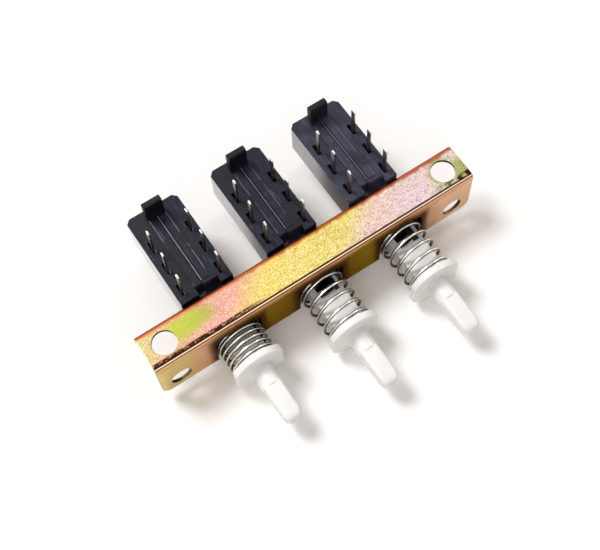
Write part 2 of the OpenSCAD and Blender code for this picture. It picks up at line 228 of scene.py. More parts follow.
def sees_white(shade):
    """1 for rays from the camera and for mirror and glass rays, 0 for the rest."""
    path = shade.node("LightPath").socket.node
    seen, mirrored, refracted = (
        Shade(shade.tree, path.outputs[f"Is {kind} Ray"]) for kind in ("Camera", "Glossy", "Transmission")
    )
    return shade.math("MINIMUM", seen + mirrored + refracted, 1.0)


bpy.context.scene.view_settings.view_transform = "Standard"

table_w = 3  # metres
shadows_end, backdrop_start = 70, 160  # millimetres from the part's middle

bpy.ops.object.select_all(action="DESELECT")
bpy.ops.mesh.primitive_plane_add(size=table_w, location=(0, 0, cad_low.z))
floor = bpy.context.object
floor.name = "floor"
bpy.ops.object.transform_apply(location=True)
floor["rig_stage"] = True
table_white, shade = new_material("table_white")
table = shade.node("BsdfDiffuse", None, {"Color": (0.8, 0.79, 0.78, 1)})
glow = shade.node("Emission", None, {"Color": (1, 0.8, 0.66, 1), "Strength": 0.11})
shadowed = shade.node("BsdfDiffuse", None, {"Color": (0.93, 0.93, 0.93, 1)})
near_part = shade.node("AddShader", None, {0: glow, 1: shadowed})
backdrop = shade.node("Emission", None, {"Color": (1, 1, 1, 1), "Strength": 1.0})
point, x, y, z = shade.place()
away = ((x**2 + y**2) ** 0.5).band(shadows_end, backdrop_start)
shown = shade.node("MixShader", None, {0: away, 1: near_part, 2: backdrop})
end_material(shade, shade.node("MixShader", None, {0: sees_white(shade), 1: table, 2: shown}))
coat(floor, table_white)

world = bpy.data.worlds.new("studio")
bpy.context.scene.world = world
world.use_nodes = True
world.node_tree.nodes.clear()
sky = Shade(world.node_tree)
room = sky.node("Background", None, {"Color": (1, 0.97, 0.94, 1), "Strength": 0.25})
white = sky.node("Background", None, {"Color": (1, 1, 1, 1), "Strength": 1.0})
lit = sky.node("MixShader", None, {0: sees_white(sky), 1: room, 2: white})
sky.node("OutputWorld", None, {"Surface": lit})

for name, place, size, power in (
    ("key_lamp", (-0.2, 0.36, 0.62), 0.26, 4.0),
    ("side_lamp", (0.62, 0.16, 0.5), 0.14, 0.8),
    ("front_lamp", (-0.3, -0.5, 0.5), 0.6, 1.7),
):
    bpy.ops.object.light_add(type="AREA", location=place)
    lamp = bpy.context.object
    lamp.name = name
    lamp.data.size = size
    lamp.data.energy = power
    lamp.rotation_euler = (middle - lamp.location).to_track_quat("-Z", "Y").to_euler()

# the camera looks down on the part from the front left
bpy.ops.object.camera_add(location=(-36.6 * mm, -58.39 * mm, 158.23 * mm))
camera = bpy.context.object
camera.rotation_euler = (radians(24.248), radians(1.829), radians(-33.597))
camera.data.lens = 66.76
camera.data.clip_start = 1 * mm
bpy.context.scene.camera = camera

# ---- Bracket ----
# A channel of thin sheet steel. Its holes and notches are punched in the flat strip, the
# flanges are folded down, and then it is zinc plated and passivated yellow.


def add_box(name, low, high):
    """Adds a box between two corners, with its place in its mesh."""
    bpy.ops.object.select_all(action="DESELECT")
    bpy.ops.mesh.primitive_cube_add(size=1, location=(Vector(low) + Vector(high)) / 2)
    piece = bpy.context.object
    piece.name = name
    piece.scale = Vector(high) - Vector(low)
    bpy.ops.object.transform_apply(location=True, rotation=True, scale=True)
    return piece


def add_rod(name, radius, start, end, sides=64):
    """Adds a cylinder along Y or Z from start to end, with its place in its mesh."""
    start, end = Vector(start), Vector(end)
    along = end - start
    bpy.ops.object.select_all(action="DESELECT")
    bpy.ops.mesh.primitive_cylinder_add(
        vertices=sides,
        radius=radius,
        depth=along.length,
        location=(start + end) / 2,
        rotation=(pi / 2 if abs(along.y) > abs(along.z) else 0, 0, 0),
    )
    piece = bpy.context.object
    piece.name = name
    bpy.ops.object.transform_apply(location=True, rotation=True, scale=True)
    return piece


def pick(piece):
    """Selects one piece alone, and makes it the active one."""
    bpy.ops.object.select_all(action="DESELECT")
    piece.select_set(True)
    bpy.context.view_layer.objects.active = piece


@contextmanager
def shaping(piece):
    """Edit mode on one piece alone."""
    pick(piece)
    bpy.ops.object.mode_set(mode="EDIT")
    yield
    bpy.ops.object.mode_set(mode="OBJECT")


def choose(piece, kind, test):
    """In edit mode, selects only the edges or faces whose middle and direction pass the test.
    An edge's direction is its length as a unit vector, and a face's is its normal."""
    bpy.ops.mesh.select_mode(type=kind)
    bpy.ops.mesh.select_all(action="DESELECT")
    shape = bmesh.from_edit_mesh(piece.data)
    for item in shape.edges if kind == "EDGE" else shape.faces:
        corners = [corner.co for corner in item.verts]
        centre = sum(corners, Vector()) / len(corners)
        direction = (corners[1] - corners[0]).normalized() if kind == "EDGE" else item.normal
        item.select_set(bool(test(centre, direction)))
    shape.select_flush_mode()
    bmesh.update_edit_mesh(piece.data)


def extrude(x, y, z):
    """In edit mode, extrudes what is selected and moves the new part."""
    bpy.ops.mesh.extrude_region_move(TRANSFORM_OT_translate={"value": (x, y, z)})


def apply_modifier(piece, kind, **settings):
    """Adds a modifier with these settings and applies it."""
    pick(piece)
    modifier = piece.modifiers.new(kind.lower(), kind)
    for name, value in settings.items():
        setattr(modifier, name, value)
    bpy.ops.object.modifier_apply(modifier=modifier.name)


def combine(piece, operation, tools):
    """Cuts tools out of a piece or joins them to it, and removes the tools."""
    for tool in tools:
        apply_modifier(piece, "BOOLEAN", object=tool, operation=operation, solver="EXACT")
        bpy.data.objects.remove(tool, do_unlink=True)


def copy_by(piece, name, shift):
    """A copy of a piece with its own mesh, moved by shift."""
    pick(piece)
    bpy.ops.object.duplicate(linked=False)
    made = bpy.context.object
    made.name = name
    bpy.ops.transform.translate(value=shift)
    bpy.ops.object.transform_apply(location=True)
    return made


def soften(piece, width, segments=2):
    """Rounds the piece's sharp edges a little, and shades its curves smooth."""
    apply_modifier(
        piece, "BEVEL", width=width, segments=segments, limit_method="ANGLE", angle_limit=radians(28)
    )
    bpy.ops.object.shade_smooth_by_angle(angle=radians(30))
    apply_modifier(piece, "WEIGHTED_NORMAL", keep_sharp=True, weight=100)


def end_skin(shade, sockets):
    """A principled shader with these sockets, led to the material's output."""
    end_material(shade, shade.node("BsdfPrincipled", None, sockets))


def stand_for(piece, node, material):
    """The piece takes a CAD node's place, its body and a material."""
    coat(piece, material)
    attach(piece, frame["nodes"][node]["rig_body"])
    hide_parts(node)


straight = 0.9  # a unit vector's share along an axis that it follows


def near(value, place):
    """Whether a value is at a place, to a hundredth of a millimetre."""
    return abs(value - place) < 0.01 * mm


def screen(red, green, blue):
    """A colour by its values on a screen, 0 to 255, as linear light."""
    return tuple((value / 255) ** 2.2 for value in (red, green, blue))


bracket_low, bracket_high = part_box("bracket")
sheet = 0.6 * mm
bend_r = 0.5 * mm  # at the middle of the sheet
rear_lip_h = 1.5 * mm
rear_end_x = 21.6 * mm
tab_low_z, tab_high_z = 4.4 * mm, 6.0 * mm
tab_reach_y = 2.475 * mm
hole_x = 25.2 * mm
web_hole_r = 1.95 * mm
panel_hole_r = 1.75 * mm
corner_r = 1.6 * mm
edge_r = 0.05 * mm
notch_w = 8.0 * mm
notch_top_z = 4.05 * mm
notch_corner_r = 1.5 * mm
rear_notch_w = 8.0 * mm
rear_notch_top_z = 4.9 * mm
pitch = 15 * mm
middle_key_x = 0.2 * mm
key_x = [middle_key_x + n * pitch for n in (-1, 0, 1)]
past = 1 * mm  # how far a punch or a cutter reaches past the surface
weld = 0.001 * mm  # a cut takes points closer than this as one

front_y = bracket_low.y + sheet / 2
back_y = bracket_high.y - sheet / 2
web_z = bracket_high.z - sheet / 2
web_mid_y = (bracket_low.y + bracket_high.y) / 2
lip_z = bracket_high.z - rear_lip_h
tab_x = rear_end_x + bend_r
tab_mid_z = (tab_low_z + lip_z) / 2
fold_l = 1.2 * bend_r  # the strip of the tab that its fold takes up


def folds(at, to):
    """Passes the web's two long edges, and the upright edge that the tab folds at."""
    long_edge = near(at.y, front_y) or near(at.y, back_y)
    upright = abs(to.z) > straight and near(at.x, tab_x) and near(at.y, back_y)
    return upright or (long_edge and abs(to.x) > straight and near(at.z, web_z))


bpy.ops.object.select_all(action="DESELECT")
bpy.ops.mesh.primitive_plane_add(size=1, location=(0, web_mid_y, web_z))
bracket = bpy.context.object
bracket.name = "folded_bracket"
bracket.scale = (bracket_high.x - bracket_low.x, back_y - front_y, 1)
bpy.ops.object.transform_apply(location=True, rotation=True, scale=True)
with shaping(bracket):
    for x in (-rear_end_x, rear_end_x):
        bpy.ops.mesh.select_all(action="SELECT")
        bpy.ops.mesh.bisect(plane_co=(x, 0, 0), plane_no=(1, 0, 0), threshold=weld)
    # the front flange, and the lip along the whole rear edge
    choose(bracket, "EDGE", lambda at, to: near(at.y, front_y))
    extrude(0, 0, bracket_low.z - web_z)
    choose(bracket, "EDGE", lambda at, to: near(at.y, back_y))
    extrude(0, 0, sheet / 2 - rear_lip_h)
    # the rear flange goes on down between the outer switches, in two rows
    for low_z, high_z in ((tab_low_z, lip_z), (bracket_low.z, tab_low_z)):
        choose(bracket, "EDGE", lambda at, to: near(at.y, back_y) and near(at.z, high_z) and near(at.x, 0))
        extrude(0, 0, low_z - high_z)
    # the tab folds in from the upper row's right end, and stands up behind the spring
    choose(
        bracket,
        "EDGE",
        lambda at, to: near(at.x, rear_end_x) and near(at.y, back_y) and near(at.z, tab_mid_z),
    )
    extrude(bend_r, 0, 0)
    extrude(0, -fold_l, 0)
    extrude(0, tab_reach_y - back_y + fold_l, 0)
    choose(
        bracket,
        "EDGE",
        lambda at, to: near(at.x, tab_x) and near(at.z, lip_z) and at.y < back_y - fold_l,
    )
    extrude(0, 0, tab_high_z - lip_z)
    choose(bracket, "EDGE", folds)
    bpy.ops.mesh.bevel(offset=bend_r, segments=5, affect="EDGES", clamp_overlap=False)
    bpy.ops.mesh.select_all(action="SELECT")
    bpy.ops.mesh.normals_make_consistent(inside=False)
apply_modifier(bracket, "SOLIDIFY", thickness=sheet, offset=0, use_even_offset=True)
with shaping(bracket):
    choose(
        bracket,
        "EDGE",
        lambda at, to: abs(to.y) > straight and abs(at.x) > hole_x and near(at.z, bracket_low.z),
    )
    bpy.ops.mesh.bevel(offset=corner_r, segments=8, affect="EDGES")

punches = []
for side in (-1, 1):
    x = side * hole_x
    below, above = (x, web_mid_y, web_z - past), (x, web_mid_y, web_z + past)
    punches.append(add_rod("web_punch", web_hole_r, below, above))
    punches.append(add_rod("panel_punch", panel_hole_r, (x, front_y - past, 0), (x, front_y + past, 0)))
for x in key_x:
    punch = add_box(
        "notch_punch",
        (x - notch_w / 2, front_y - past, bracket_low.z - past),
        (x + notch_w / 2, front_y + past, notch_top_z),
    )
    with shaping(punch):
        choose(punch, "EDGE", lambda at, to: abs(to.y) > straight and at.z > 0)
        bpy.ops.mesh.bevel(offset=notch_corner_r, segments=8, affect="EDGES")
    punches.append(punch)
    punches.append(
        add_box(
            "rear_punch",
            (x - rear_notch_w / 2, back_y - past, bracket_low.z - past),
            (x + rear_notch_w / 2, back_y + past, rear_notch_top_z),
        )
    )
combine(bracket, "DIFFERENCE", punches)
soften(bracket, edge_r)

# The dip leaves bands of yellow, pink and green, which follow the length of the strip. The
# places in this finish are in millimetres, as those in the finishes after it are.
chromate, shade = new_material("yellow_chromate")
point, x, y, z = shade.place()
wave = shade.grain(point, 5, 3) - 0.5
fine = shade.grain(point, 0.17, 2)
coarse = shade.grain(point, 1.1, 3)
half_l = bracket_high.x / mm
web_top = bracket_high.z / mm
web_back = bracket_high.y / mm
web_mid = web_mid_y / mm
hole_at = hole_x / mm
from_hole = abs(x) - hole_at


def spot(centre_x, centre_y, width, depth):
    """1 in the middle of an oval on the web, and 0 outside it."""
    far = ((x - centre_x + wave * 2) / width) ** 2 + ((y - centre_y) / depth) ** 2
    return far.band(0.1, 1.3, 1, 0)


# the web: slanting bands, with pale flecks and dark dots
along = (x - (y - web_mid) * 1.2 + wave * 9 + half_l) / (2 * half_l)
colour = along.ramp(
    (0.0, screen(132, 122, 76)),
    (0.13, screen(150, 112, 76)),
    (0.25, screen(180, 126, 116)),
    (0.38, screen(192, 168, 62)),
    (0.6, screen(196, 178, 74)),
    (0.7, screen(204, 172, 156)),
    (0.9, screen(206, 178, 188)),
    (1.0, screen(200, 190, 158)),
)
contrast = along.band(0.3, 0.45, 0.55, 1)
colour = (fine.band(0.42, 0.62) * contrast * 0.38).mix(colour, screen(255, 240, 216))
dots = fine.band(0.47, 0.33) * contrast * along.band(0.55, 0.75, 0.4, 0.6)
colour = dots.mix(colour, along.band(0.55, 0.75).mix(screen(150, 100, 56), screen(140, 104, 136)))

# green beside the left hole, at the right end, and in a ring around the right hole
to_right_hole = ((x - hole_at) ** 2 + (y - web_mid) ** 2) ** 0.5
ring = to_right_hole.band(2.1, 3.3, 0.8, 0) * coarse.band(0.35, 0.6)
green = spot(-21.2, 3.9, 5.0, 1.9).either(spot(27.6, 2.4, 2, 2) * 0.8)
green = green.either(ring) * fine.band(0.7, 0.45, 0.6, 1)
colour = green.mix(colour, screen(138, 144, 50))

# the rear fold: painted shading of the bend, orange, and darker where it turns down
rear_fold_shade = (y + (coarse - 0.5) * 0.8 + (fine - 0.5) * 1.2).band(web_back - 1.05, web_back - 0.75)
rear_fold_shade = rear_fold_shade * z.band(web_top - 1.3, web_top - 0.9)
rear_shade_colour = along.band(0.3, 0.6).mix(screen(168, 84, 54), screen(172, 82, 36))
rear_shade_colour = y.band(web_back - 0.35, web_back - 0.05).mix(rear_shade_colour, screen(110, 44, 22))
colour = (rear_fold_shade * 0.92).mix(colour, rear_shade_colour)

# the flange: yellow between the keys, with painted reflection in the ramp, pale at both ends as of the lit
# table and dark in the middle as of the shaded table, and painted shade around the notches
along_flange = (x + wave * 5 + half_l) / (2 * half_l)
flange_tint_and_reflection = along_flange.ramp(
    (0.0, screen(246, 214, 168)),
    (0.13, screen(240, 192, 152)),
    (0.22, screen(158, 100, 66)),
    (0.34, screen(146, 116, 22)),
    (0.5, screen(112, 66, 18)),
    (0.66, screen(152, 124, 20)),
    (0.78, screen(132, 78, 44)),
    (0.9, screen(248, 206, 172)),
)
top_edge = (z + wave * 1.5).band(web_top - 1.9, web_top - 0.6, 0, 0.75)
flange_tint_and_reflection = top_edge.mix(flange_tint_and_reflection, screen(212, 158, 112))
left_patch = x.band(-21, -25) * coarse.band(0.3, 0.6) * 0.6
flange_tint_and_reflection = left_patch.mix(flange_tint_and_reflection, screen(206, 204, 116))
# painted shade darkens the flange around the notches
beside_notch = abs((x - middle_key_x / mm).repeat(pitch / mm)) - notch_w / mm / 2
notch = beside_notch.either(z - notch_top_z / mm) + (coarse - 0.5)
notch = notch.band(0.2, 1.7, 0.9, 0) * abs(x).band(21, 20.2)
flange_tint_and_reflection = notch.mix(flange_tint_and_reflection, screen(62, 26, 18))

# over the front fold: two thin dark lines of painted shade, a painted highlight between them, and cracked
# plating in brown mottle; u is above 0 on the web and below 0 on the flange
u = y - (web_top - z)
colour = u.band(-0.15, 0.3).mix(flange_tint_and_reflection, colour)
mottle = coarse.band(0.2, 0.46) * shade.grain(point, 0.4, 2).band(0.24, 0.5)
on_left = along.band(0.3, 0.42, 1, 0)
on_right = x.band(20, 27)
fold_shade_and_cracks = (u.between(0.32, 0.6, 0.1) * 0.95).either(u.between(-0.24, -0.06, 0.08) * 0.9)
fold_shade_and_cracks = fold_shade_and_cracks.either(u.between(0.1, 1.05, 0.2) * mottle * on_left)
fold_shade_and_cracks = fold_shade_and_cracks.either(u.between(0.3, 1.3, 0.3) * on_right * coarse.band(0.36, 0.6))
colour = fold_shade_and_cracks.mix(colour, screen(56, 28, 18))
# painted highlight along the middle of the fold
colour = (u.between(0.04, 0.24, 0.06) * 0.85).mix(colour, screen(250, 214, 190))

# bare steel on the cut ends, painted pale as lit on the left end and dark as shaded on the right, and
# painted shade on the walls of the holes
bare = abs(x).band(half_l - 0.12, half_l - 0.02)
colour = bare.mix(colour, x.band(-1, 1).mix(screen(176, 184, 148), screen(52, 42, 34)))
in_web_hole = ((from_hole**2 + (y - web_mid) ** 2) ** 0.5 - web_hole_r / mm).band(0.09, 0.04)
in_flange_hole = ((from_hole**2 + z**2) ** 0.5 - panel_hole_r / mm).band(0.09, 0.04)
hole_wall_shade = (in_web_hole * z.band(web_top, web_top - 0.1)).either(in_flange_hole * y.band(0, 0.1))
colour = (hole_wall_shade * 0.85).mix(colour, screen(44, 38, 26))
end_skin(
    shade,
    {
        "Base Color": colour,
        "Roughness": fine.band(0.3, 0.7, 0.3, 0.46),
        "Metallic": 0.9,
        "Normal": (fine * 0.7 + coarse * 0.3).bump(0.4, 0.012 * mm),
        "Specular Tint": (0.6, 0.5, 0.4, 1),
    },
)
stand_for(bracket, "bracket", chromate)

# ---- Terminal blocks ----
# The upper half of each switch's housing: a hollow box moulded in black plastic, with slots for
# the terminals, two ribs and a fin on top, a recess at the bracket and a tab at the rear.

wall = 0.65 * mm
top_t = 2.3 * mm
block_h = 5.65 * mm
corner_cut = 0.7 * mm
tab_w, tab_h, tab_t = 3.1 * mm, 4.2 * mm, 1.05 * mm
tab_cut = 0.2 * mm
tab_back = 2 * mm  # from the tab's front to the block's rear
rib_w, rib_h, rib_gap = 1.2 * mm, 0.35 * mm, 0.2 * mm
rib_root = 0.3 * mm  # ribs, lip and tab start this far below the top
fin_w, fin_x = 0.18 * mm, 0.07 * mm
lip_x, lip_w, lip_l, lip_h = -0.1 * mm, 2.5 * mm, 0.6 * mm, 0.6 * mm
recess = 1.4 * mm
slot_w, slot_front, slot_back = 0.6 * mm, 0.6 * mm, 1.45 * mm
keel_w, keel_h = 5.8 * mm, 0.75 * mm
touch = 0.05 * mm  # a cut goes this far beyond a wall, and a joined piece into its neighbour

block_low, block_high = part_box("terminal_block_1")
block_x = (block_low.x + block_high.x) / 2
block_mid_y = (block_low.y + block_high.y) / 2
block_top_z = block_high.z - tab_h
tab_y = block_high.y - tab_back
rib_end_y = tab_y - 0.15 * mm
left_rib_y = block_low.y + 1.2 * mm
right_rib_y = block_low.y + 1.65 * mm
lip_y = block_low.y + 0.85 * mm
root_z = block_top_z - rib_root
left_rib_x = fin_x - fin_w / 2 - rib_gap - rib_w
right_rib_x = fin_x + fin_w / 2 + rib_gap
key_offset = middle_key_x - (block_x + pitch)


def black_plastic(name, tone, rubbed=0.0, polish_start=8.0):
    """Moulded black plastic: dull and streaked on top, and polished by the mould on its outer
    walls from polish_start, in millimetres along Y, to the rear. The fin and the ribs' edges
    carry painted highlights, as strong as rubbed says."""
    material, shade = new_material(name)
    point, x, y, z = shade.place()
    across = (x - block_x / mm).repeat(pitch / mm)
    over_top = z - block_top_z / mm
    half_w = (block_high.x - block_low.x) / 2 / mm
    half_l = (block_high.y - block_low.y) / 2 / mm
    cloud = shade.grain(point, 3.2, 3)
    pores = shade.grain(point, 0.2, 2)
    flow = shade.grain(point, 0.45, 2, (1, 9, 1))
    # streaks and scratches along the block, and a paler stretch between the rows of terminals
    pale = tuple(2.6 * part for part in tone)
    colour = (cloud * 0.6 + flow * 0.4).band(0.38, 0.66).mix(tone, pale)
    colour = (across.between(-1.5, 1.7, 0.5) * cloud.band(0.4, 0.5) * 0.45).mix(colour, pale)
    colour = (pores.band(0.6, 0.76) * 0.35).mix(colour, screen(96, 96, 108))
    scratch = shade.grain(point, 0.08, 1, (1, 30, 1)).band(0.62, 0.72) * cloud.band(0.42, 0.6)
    colour = (scratch * 0.5).mix(colour, screen(112, 112, 124))
    # painted highlights along the fin and the outer edges of the two ribs
    left_edge, right_edge = left_rib_x / mm, (right_rib_x + rib_w) / mm
    rib_edge_highlight = across.between(left_edge - 0.02, left_edge + 0.1, 0.03)
    rib_edge_highlight = rib_edge_highlight.either(across.between(right_edge - 0.1, right_edge + 0.02, 0.03))
    rib_edge_highlight = rib_edge_highlight * cloud.band(0.42, 0.52) * (0.7 * rubbed)
    fin_highlight = across.between(fin_x / mm - 0.04, fin_x / mm + 0.06, 0.03) * rubbed
    on_ribs = y.between(right_rib_y / mm, rib_end_y / mm, 0.02) * over_top.band(0.28, 0.33)
    colour = (rib_edge_highlight.either(fin_highlight) * on_ribs).mix(colour, screen(158, 158, 168))
    # painted shade darkens the tab, and the top's long edges have worn specks
    colour = (over_top.band(0.45, 1.1) * 0.85).mix(colour, screen(5, 5, 8))
    specks = pores.band(0.56, 0.64) * cloud.band(0.45, 0.55)
    specks = specks * abs(across).band(half_w - 0.14, half_w - 0.06) * over_top.band(-0.16, -0.1)
    colour = (specks * 0.6).mix(colour, screen(150, 150, 158))
    on_top = over_top.band(-0.12, -0.04)
    at_rear = abs(y - block_mid_y / mm).band(half_l - 0.85, half_l - 0.75)
    walls = abs(across).band(half_w - 0.3, half_w - 0.2).either(at_rear)
    end_skin(
        shade,
        {
            "Base Color": colour,
            "Roughness": (cloud * 0.6 + pores * 0.4).band(0.3, 0.7, 0.3, 0.5) * on_top + 0.13,
            "Normal": ((pores * 0.6 + flow * 0.4) * on_top).bump(0.5, 0.012 * mm),
            "Specular IOR Level": 0.22,
            "Coat Weight": walls * (1 - on_top) * y.band(polish_start - 3, polish_start + 2, 0.15, 1),
            "Coat Roughness": 0.06,
        },
    )
    return material


block = add_box("moulded_block_1", block_low, (block_high.x, block_high.y, block_top_z))
with shaping(block):
    choose(block, "EDGE", lambda at, to: abs(to.z) > straight and near(at.y, block_high.y))
    bpy.ops.mesh.bevel(offset=corner_cut, segments=1, affect="EDGES")
    choose(block, "FACE", lambda at, to: to.z < -straight)
    bpy.ops.mesh.inset(thickness=wall)
    extrude(0, 0, block_h - top_t)

raised = []
for left_x, width, rib_y in (
    (left_rib_x, rib_w, left_rib_y),
    (fin_x - fin_w / 2, fin_w, right_rib_y),
    (right_rib_x, rib_w, right_rib_y),
):
    raised.append(
        add_box(
            "rib",
            (block_x + left_x, rib_y, root_z),
            (block_x + left_x + width, rib_end_y, block_top_z + rib_h),
        )
    )
raised.append(
    add_box(
        "lip",
        (block_x + lip_x, lip_y, root_z),
        (block_x + lip_x + lip_w, lip_y + lip_l, block_top_z + lip_h),
    )
)
rear_tab = add_box(
    "tab", (block_x - tab_w / 2, tab_y, root_z), (block_x + tab_w / 2, tab_y + tab_t, block_high.z)
)
with shaping(rear_tab):
    choose(rear_tab, "EDGE", lambda at, to: abs(to.x) > straight and near(at.z, block_high.z))
    bpy.ops.mesh.bevel(offset=tab_cut, segments=1, affect="EDGES")
raised.append(rear_tab)
combine(block, "UNION", raised)

cuts = [
    add_box(
        "left_recess",
        (block_x + lip_x - fin_w / 2 - rib_w, block_low.y - past, block_top_z - recess),
        (block_x + lip_x, left_rib_y, block_high.z),
    ),
    add_box(
        "right_recess",
        (block_x + lip_x - fin_w / 2, block_low.y - past, block_top_z - recess),
        (block_x + lip_x + lip_w, lip_y, block_top_z + rib_h / 2),
    ),
    add_box(
        "keel_cut",
        (block_x + key_offset - keel_w / 2, block_low.y - past, block_low.z - past),
        (block_x + key_offset + keel_w / 2, block_low.y + wall + touch, block_low.z + keel_h),
    ),
]
for side in ("left", "right"):
    for n in (1, 2, 3):
        low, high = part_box(f"terminal_1_{side}_{n}")
        at = (low + high) / 2
        cuts.append(
            add_box(
                "slot",
                (at.x - slot_w / 2, at.y - slot_front, block_top_z - recess),
                (at.x + slot_w / 2, at.y + slot_back, block_top_z + past),
            )
        )
combine(block, "DIFFERENCE", cuts)
soften(block, edge_r)
# the three blocks take copies of one plastic whose tones, painted highlights and stretches of gloss
# differ: the tones are painted light, darker on block 1 and paler on block 3, for the different light each
# block's top reflects
lit_block_skins = (
    black_plastic("block_skin_1", screen(12, 12, 24), rubbed=0.75, polish_start=8.0),
    black_plastic("block_skin_2", screen(18, 18, 28), rubbed=0.45, polish_start=11.5),
    black_plastic("block_skin_3", screen(40, 40, 50), rubbed=0.3, polish_start=14.0),
)
for n, skin in enumerate(lit_block_skins):
    copy = block if n == 0 else copy_by(block, f"moulded_block_{n + 1}", (n * pitch, 0, 0))
    stand_for(copy, f"terminal_block_{n + 1}", skin)

# ---- Cases ----
# The lower half of each housing, in the same plastic: a neck in the bracket's channel, a keel in
# which the plunger's tail runs, and a brim that the terminal block is pressed over.

case_skin = black_plastic("case_skin", screen(14, 14, 18))
for n in (1, 2, 3):
    coat(frame["nodes"][f"case_{n}"], case_skin)

# ---- Terminals ----
# Strips of brass, punched with round tips, tinned, and pressed into the block from below.


def tinned_brass():
    """Tinned brass with a dull film and brighter scratches along the strip. Painted shade darkens
    it near the block, and a painted highlight brightens the tip."""
    material, shade = new_material("tinned_brass")
    point, x, y, z = shade.place()
    tip = strip_high.z / mm
    scratch = shade.grain(point, 0.12, 2, (1, 1, 12))
    film = shade.grain(point, 1.4, 3)
    # painted shade: the scratches' shine fades to dark near the block
    shine_and_shade = (scratch * 0.6 + film * 0.4).band(0.35, 0.65) * z.band(tip - 4.15, tip - 0.95, 0.15, 1)
    colour = shine_and_shade.mix(screen(84, 82, 80), screen(205, 204, 200))
    # painted highlight on the round tip
    colour = (z.band(tip - 0.65, tip - 0.25) * 0.8).mix(colour, screen(250, 250, 248))
    rough = film.band(0.3, 0.7, 0.24, 0.38)
    end_skin(shade, {"Base Color": colour, "Roughness": rough, "Metallic": 1.0})
    return material


tip_r, edge_r = 0.39 * mm, 0.03 * mm
strip_low, strip_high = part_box("terminal_1_left_1")
terminal_skin = tinned_brass()
strip = add_box("strip_1_left_1", strip_low, strip_high)
with shaping(strip):
    choose(strip, "EDGE", lambda at, to: abs(to.x) > straight and near(at.z, strip_high.z))
    bpy.ops.mesh.bevel(offset=tip_r, segments=6, affect="EDGES")
soften(strip, edge_r)
for station in (1, 2, 3):
    for side in ("left", "right"):
        for n in (1, 2, 3):
            seat = f"{station}_{side}_{n}"
            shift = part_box("terminal_" + seat)[0] - strip_low
            copy = strip if seat == "1_left_1" else copy_by(strip, "strip_" + seat, shift)
            stand_for(copy, "terminal_" + seat, terminal_skin)

# ---- Plungers ----
# Moulded in white acetal in one piece: a square stem for a key cap, a round neck, a collar for
# the spring, a forked slide inside the coils, and a tail with the cam that the latch holds.

neck_r, neck_l = 1.7 * mm, 3.4 * mm
stem_w, stem_l, stem_edge_r = 3 * mm, 6.3 * mm, 0.6 * mm
dome_l, dome_steps, dome_core = 1.5 * mm, 6, 0.45
dome_turn = radians(90 / 6.6)  # so the last step stops short of a point
collar_r, collar_w, collar_t = 4.6 * mm, 8.2 * mm, 1.05 * mm
slide_w, slide_h, leg_w = 5 * mm, 3.2 * mm, 1.1 * mm
tail_w, pocket_w = 4.2 * mm, 2.6 * mm
right_leg_w = 0.5 * mm
stem_seat, inside, seam = 0.1 * mm, 0.2 * mm, 0.02 * mm  # how far parts run into each other
edge_r = 0.12 * mm
fork_y, rail_y, pocket_end_y = -2.1 * mm, 1.85 * mm, 4.975 * mm
pocket_y = rail_y - 0.1 * mm
cam_y, cam_land, cam_l, cam_x = 1.025 * mm, 0.5 * mm, 2.65 * mm, 0.05 * mm

key_low, key_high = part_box("plunger_2")
key_mid_x = (key_low.x + key_high.x) / 2
key_z = (key_low.z + key_high.z) / 2
stem_end_y = key_low.y + stem_l
collar_front_y = stem_end_y + neck_l
collar_back_y = collar_front_y + collar_t
half_stem = stem_w / 2
half_slide_h = slide_h / 2

plunger = add_box(
    "moulded_plunger_2",
    (key_mid_x - half_stem, key_low.y + dome_l, key_z - half_stem),
    (key_mid_x + half_stem, stem_end_y + stem_seat, key_z + half_stem),
)
with shaping(plunger):
    choose(plunger, "EDGE", lambda at, to: abs(to.y) > straight)
    bpy.ops.mesh.bevel(offset=stem_edge_r, segments=5, affect="EDGES")
    # the domed end, drawn out in steps that follow a quarter of an ellipse; its core stays flat
    choose(plunger, "FACE", lambda at, to: to.y < -straight)
    for step in range(dome_steps):
        before, after = dome_turn * step, dome_turn * (step + 1)
        extrude(0, -dome_l * (sin(after) - sin(before)), 0)
        narrower, wider = (dome_core + (1 - dome_core) * cos(angle) for angle in (after, before))
        bpy.ops.transform.resize(
            value=(narrower / wider, 1, narrower / wider),
            center_override=(key_mid_x, key_low.y, key_z),
        )

collar = add_rod(
    "collar", collar_r, (key_mid_x, collar_front_y, key_z), (key_mid_x, collar_back_y, key_z), sides=96
)
with shaping(collar):
    for side in (-1, 1):
        bpy.ops.mesh.select_all(action="SELECT")
        bpy.ops.mesh.bisect(
            plane_co=(key_mid_x + side * collar_w / 2, 0, 0),
            plane_no=(side, 0, 0),
            clear_outer=True,
            use_fill=True,
            threshold=weld,
        )
neck = add_rod(
    "neck",
    neck_r,
    (key_mid_x, stem_end_y, key_z),
    (key_mid_x, collar_front_y + inside, key_z),
)
slide = add_box(
    "slide",
    (key_mid_x - slide_w / 2, collar_back_y - inside, key_z - half_slide_h),
    (key_mid_x + slide_w / 2, rail_y, key_z + half_slide_h),
)
tail = add_box(
    "tail",
    (key_mid_x - tail_w / 2, rail_y - seam, key_z - half_slide_h),
    (key_mid_x + tail_w / 2, key_high.y, key_z + half_slide_h),
)
combine(plunger, "UNION", [neck, collar, slide, tail])
fork = add_box(
    "fork",
    (key_mid_x - slide_w / 2 + leg_w, fork_y, key_z - slide_h),
    (key_mid_x + slide_w / 2 - right_leg_w, rail_y, key_z + slide_h),
)
pocket = add_box(
    "pocket",
    (key_mid_x - pocket_w / 2, pocket_y, key_z - slide_h),
    (key_mid_x + pocket_w / 2, pocket_end_y, key_z + slide_h),
)
combine(plunger, "DIFFERENCE", [fork, pocket])
